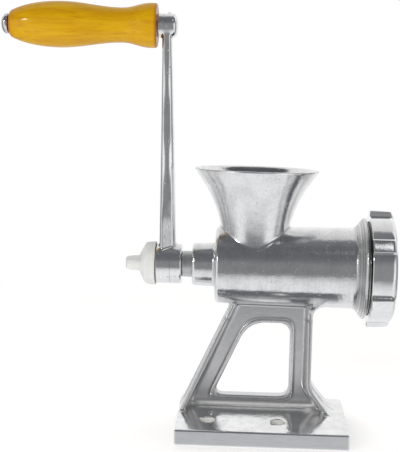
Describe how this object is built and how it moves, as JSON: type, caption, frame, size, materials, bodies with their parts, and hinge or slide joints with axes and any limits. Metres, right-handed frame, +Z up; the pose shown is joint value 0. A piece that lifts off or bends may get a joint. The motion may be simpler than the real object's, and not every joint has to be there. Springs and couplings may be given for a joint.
{
  "type": "manual meat grinder",
  "caption": "Table-top hand meat grinder: cast stand with flared hopper and barrel, worm, knife and hole plate behind a lugged ring nut, crank with turned wooden grip.",
  "frame": {"origin": "on the base underside, below the shaft axis, at the middle of the base's length", "axes": "+X along the shaft towards the outlet, +Y away from the base's long front reach, +Z up"},
  "size_m": [0.2855, 0.105, 0.3065],
  "materials": {
    "cast_aluminium": "polished casting with a duller web",
    "polished_aluminium": "mirror polished",
    "worm_aluminium": "as cast, satin",
    "tool_steel": "ground",
    "plated_steel": "bright plated",
    "bearing_bronze": "turned",
    "nylon": "natural",
    "white_plastic": "slightly translucent, moulded",
    "lacquered_wood": "turned, amber lacquer"
  },
  "bodies": {
    "housing": {"body_casting": "cast_aluminium", "plate_key": "tool_steel", "rear_bush": "bearing_bronze", "thrust_washer": "nylon"},
    "worm": {"auger": "worm_aluminium", "auger_stud": "tool_steel", "knife": "tool_steel"},
    "plate": {"hole_plate": "tool_steel"},
    "nut": {"ring_nut": "polished_aluminium"},
    "crank": {"crank_arm": "polished_aluminium", "grip_spindle": "plated_steel"},
    "thumb_screw": {"thumb_head": "white_plastic", "thumb_stud": "plated_steel"},
    "handle": {"grip": "lacquered_wood"}
  },
  "joints": [
    {"name": "crank_spin", "type": "hinge", "parent": "housing", "child": "worm", "pos_m": [0, 0, 0.118], "axis": [1, 0, 0], "continuous": true},
    {"name": "crank_draw", "type": "slide", "parent": "worm", "child": "crank", "axis": [-1, 0, 0], "range_m": [0, 0.01]},
    {"name": "thumb_screw_turn", "type": "hinge", "parent": "crank", "child": "thumb_screw", "pos_m": [-0.09, 0, 0.118], "axis": [-1, 0, 0], "range_deg": [0, 2880]},
    {"name": "grip_spin", "type": "hinge", "parent": "crank", "child": "handle", "pos_m": [-0.134, 0, 0.29], "axis": [1, 0, 0], "continuous": true},
    {"name": "plate_draw", "type": "slide", "parent": "housing", "child": "plate", "axis": [1, 0, 0], "range_m": [0, 0.0105]},
    {"name": "ring_nut_turn", "type": "hinge", "parent": "plate", "child": "nut", "pos_m": [0.083, 0, 0.118], "axis": [1, 0, 0], "range_deg": [0, 1260]}
  ],
  "couplings": [
    {"joint": "thumb_screw_turn", "follows": "crank_draw", "rad_per_m": 5026.5},
    {"joint": "plate_draw", "follows": "ring_nut_turn", "m_per_rad": 0.00047746}
  ]
}
